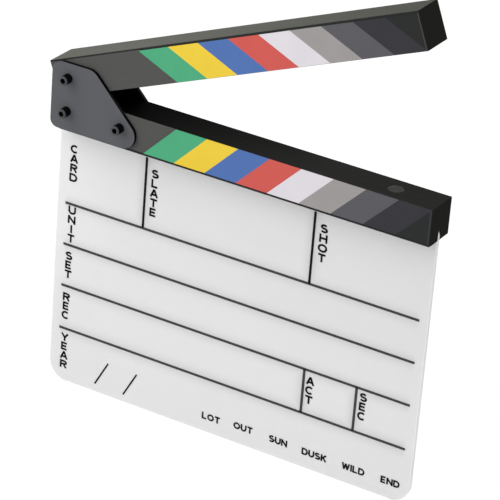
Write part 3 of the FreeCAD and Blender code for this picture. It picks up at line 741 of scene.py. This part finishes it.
def ring(station, depth, radius_at):
    """The points round one turn of a bolt, at one depth, with a radius that may change with the angle."""
    points = []
    for step in range(BOLT_POINTS):
        angle = math.tau * step / BOLT_POINTS
        radius = radius_at(angle, step)
        points.append((station[0] + radius * math.cos(angle), depth, station[1] + radius * math.sin(angle)))
    return points


def plain(radius):
    """A round turn."""
    return lambda angle, step: radius


def hexagon(flats):
    """A six-sided turn, this far across its flats."""
    return lambda angle, step: flats / 2 / math.cos(angle % (math.tau / 6) - math.tau / 12)


def knurled(radius):
    """A turn whose every other point is pressed in."""
    return lambda angle, step: radius - step % 2 * KNURL_DEPTH * MM


def threaded(depth):
    """A turn of a screw thread, whose crest goes round once for each pitch along the bolt."""
    def radius_at(angle, step):
        phase = (depth / (THREAD_PITCH * MM) - angle / math.tau) % 1
        return (SHANK_RADIUS - THREAD_DEPTH * abs(2 * phase - 1)) * MM
    return radius_at


def bolt_rings(station):
    """A bolt from the floor of its socket, out over the domed head and along the shank to its tip."""
    front, tip = pivot_low.y, pivot_high.y
    mouth = (SOCKET_FLATS / 2 / math.cos(math.tau / 12) + SOCKET_LIP) * MM
    rings = [
        ring(station, front + SOCKET_DEPTH * MM, hexagon(SOCKET_FLATS * MM)),
        ring(station, front + SOCKET_LIP * MM, hexagon(SOCKET_FLATS * MM)),
    ]
    for share, drop in HEAD_DOME:
        rings.append(ring(station, front + drop * MM, plain(mouth + (head_radius - mouth) * share)))
    rings += [
        ring(station, front + (HEAD_CHAMFER + KNURL_END) * MM, plain(head_radius)),
        ring(station, front + (HEAD_CHAMFER + 2 * KNURL_END) * MM, knurled(head_radius)),
        ring(station, plate_front - 2 * KNURL_END * MM, knurled(head_radius)),
        ring(station, plate_front - KNURL_END * MM, plain(head_radius)),
        ring(station, plate_front, plain(head_radius)),
        ring(station, plate_front, plain(SHANK_RADIUS * MM)),
    ]
    thread_start = tip - THREAD_LENGTH * MM
    rings.append(ring(station, thread_start, plain(SHANK_RADIUS * MM)))
    turns = round((THREAD_LENGTH - TIP_CHAMFER) / THREAD_PITCH * THREAD_STEPS)
    for step in range(1, turns + 1):
        depth = thread_start + step * THREAD_PITCH * MM / THREAD_STEPS
        rings.append(ring(station, min(depth, tip - TIP_CHAMFER * MM), threaded(depth)))
    rings.append(ring(station, tip, plain((SHANK_RADIUS - THREAD_DEPTH - TIP_CHAMFER / 2) * MM)))
    return rings


def lofted(name, lofts, finish):
    """One piece made of closed skins, each through its own rings and capped at both ends."""
    points = []
    faces = []
    for rings in lofts:
        base = len(points)
        points += [point for turn in rings for point in turn]
        faces.append([base + step for step in range(BOLT_POINTS)])
        for row in range(len(rings) - 1):
            near = base + row * BOLT_POINTS
            far = near + BOLT_POINTS
            for step in range(BOLT_POINTS):
                after = (step + 1) % BOLT_POINTS
                faces.append((near + step, far + step, far + after, near + after))
        faces.append([len(points) - 1 - step for step in range(BOLT_POINTS)])
    piece = made(name, points, faces, finish)
    piece.data.shade_smooth()
    piece.data.set_sharp_from_angle(angle=BOLT_SHARP_ANGLE)
    return piece


oxide, tree, shader = start_finish("black_oxide")
place = add(tree, "TexCoord", {}).outputs
stain = cloudy(tree, place["Object"], OXIDE_STAIN_WIDTH, detail=5.0)
# The head ends are drawn paler than the rest, evenly all the way round: painted light on the faces towards
# the front
lit_end = pivot_low.y + LIT_END_DEPTH * MM
outside = ranged(tree, axes(tree, place["Object"])["Y"], lit_end + LIT_END_BLUR * MM, lit_end)
pale = times(tree, ranged(tree, axes(tree, place["Normal"])["Y"], *LIT_END_FACING), outside)
feed(tree, shader, Base_Color=mixed(tree, pale, tint(*OXIDE), tint(*OXIDE_PAINTED_LIGHT)))
roughen(tree, shader, stain, OXIDE_ROUGHNESS)
feed(tree, shader, Normal=embossed(tree, stain, OXIDE_STAIN_DEPTH), Specular_IOR_Level=OXIDE_SHINE)
for node, stations in bolt_stations.items():
    bolts = lofted("knurled_" + node, [bolt_rings(station) for station in stations], oxide)
    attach(bolts, "slate")
    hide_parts(node)


# Nuts, washers and board screws
# Zinc-plated lock nuts with a nylon crown draw the bolts up on plain washers behind the rear plate.
# Three black cross-head screws go into the back of the lower stick and through the board's tongue.

ZINC = (201, 203, 206)
ZINC_CLOUDED = (168, 171, 174)
ZINC_ROUGHNESS = (0.28, 0.45)
SPANGLE_WIDTH = 0.9
SPANGLE_DEPTH = 0.01
SPANGLE_SPAN = (0.4, 0.65)
CROWN_NYLON = (226, 226, 220)
CROWN_HEIGHT = 0.45
CROWN_BLUR = 0.02

crown_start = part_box("pivot_nut")[1].y - CROWN_HEIGHT * MM
zinc, tree, shader = start_finish("zinc_plate")
place = add(tree, "TexCoord", {}).outputs["Object"]
spangle = cloudy(tree, place, SPANGLE_WIDTH, detail=5.0)
clouded = ranged(tree, spangle, *SPANGLE_SPAN)
crown = ranged(tree, axes(tree, place)["Y"], crown_start, crown_start + CROWN_BLUR * MM)
plated = mixed(tree, clouded, tint(*ZINC), tint(*ZINC_CLOUDED))
feed(tree, shader, Base_Color=mixed(tree, crown, plated, tint(*CROWN_NYLON)))
feed(tree, shader, Metallic=ranged(tree, crown, 0.0, 1.0, 1.0, 0.0))
roughen(tree, shader, spangle, ZINC_ROUGHNESS)
feed(tree, shader, Normal=embossed(tree, spangle, SPANGLE_DEPTH))
dress(zinc, "pivot_nut", "plate_nuts", "pivot_nut_washer", "plate_nut_washers")
dress(oxide, "board_screws")


# Floor, light and camera
# A plain pale floor under the board's lower edge, lit by a wide soft box at the front left and a smaller
# one above. The camera stands to the right of the board and higher than it, as for the photograph.

FLOOR_SIZE = 30.0
FLOOR_GREY = (0.8, 0.8, 0.8, 1.0)
FLOOR_DUSTY = (0.78, 0.78, 0.78, 1.0)
FLOOR_DUST_WIDTH = 400.0
FLOOR_GLOW = 0.86
FLOOR_WHITE = 1.09
BACKDROP_WHITE = (1.0, 1.0, 1.0, 1.0)
FILL = 0.82
FRONT_BOX = {"place": (-1.6, -1.5, 0.8), "size": (1.6, 1.2), "power": 11.0}
TOP_BOX = {"place": (-0.5, -0.35, 0.9), "size": (0.5, 0.4), "power": 2.2}
AIM = (0.0, 0.0, 0.16)
CAMERA_PLACE = (0.904536, -1.632206, 1.078260)
CAMERA_AIM = (0.008705, 0.0, 0.152310)
CAMERA_ROLL = math.radians(4.654)
CAMERA_LENS = 217.165
CAMERA_SENSOR = 36.0

scene = bpy.context.scene
scene.view_settings.view_transform = "Standard"


def seen_white(tree):
    """A share of 1 for rays that show the background: to the camera, in a gloss or through the sheet."""
    path = add(tree, "LightPath", {}).outputs
    seen = add(tree, "Math", {0: path["Is Camera Ray"], 1: path["Is Glossy Ray"]}, operation="ADD")
    sockets = {0: seen.outputs[0], 1: path["Is Transmission Ray"]}
    return add(tree, "Math", sockets, operation="ADD", use_clamp=True).outputs[0]


def aimed(place, target, roll=0.0):
    """Where something stands that looks at a target, turned about its own line of sight."""
    look = (Vector(target) - Vector(place)).to_track_quat("-Z", "Y").to_matrix().to_4x4()
    return Matrix.Translation(place) @ look @ Matrix.Rotation(roll, 4, "Z")


def hang_box(name, box):
    """A soft box that faces the object."""
    lamp = bpy.data.lights.new(name, "AREA")
    lamp.shape = "RECTANGLE"
    lamp.size, lamp.size_y = box["size"]
    lamp.energy = box["power"]
    light = bpy.data.objects.new(name, lamp)
    light.matrix_world = aimed(box["place"], AIM)
    scene.collection.objects.link(light)


floor_paint, tree, shader = start_finish("floor_paint")
tree.nodes.remove(shader)
dust = cloudy(tree, add(tree, "TexCoord", {}).outputs["Object"], FLOOR_DUST_WIDTH)
matte = add(tree, "BsdfDiffuse", {"Color": mixed(tree, dust, FLOOR_GREY, FLOOR_DUSTY)}).outputs[0]
white = add(tree, "Emission", {"Strength": FLOOR_WHITE}).outputs[0]
glow = times(tree, seen_white(tree), FLOOR_GLOW)
surface = add(tree, "MixShader", {0: glow, 1: matte, 2: white}).outputs[0]
tree.links.new(surface, tree.nodes["Material Output"].inputs["Surface"])
half = FLOOR_SIZE / 2
floor_corners = [(-half, -half, 0), (half, -half, 0), (half, half, 0), (-half, half, 0)]
floor = made("floor", floor_corners, [(0, 1, 2, 3)], floor_paint)

world = bpy.data.worlds.new("studio")
scene.world = world
world.use_nodes = True
backdrop = world.node_tree.nodes["Background"]
backdrop.inputs["Color"].default_value = BACKDROP_WHITE
strength = ranged(world.node_tree, seen_white(world.node_tree), 0.0, 1.0, FILL, 1.0)
world.node_tree.links.new(strength, backdrop.inputs["Strength"])
hang_box("front_box", FRONT_BOX)
hang_box("top_box", TOP_BOX)

lens = bpy.data.cameras.new("camera")
lens.lens = CAMERA_LENS
lens.sensor_width = CAMERA_SENSOR
camera = bpy.data.objects.new("camera", lens)
camera.matrix_world = aimed(CAMERA_PLACE, CAMERA_AIM, CAMERA_ROLL)
scene.collection.objects.link(camera)
scene.camera = camera
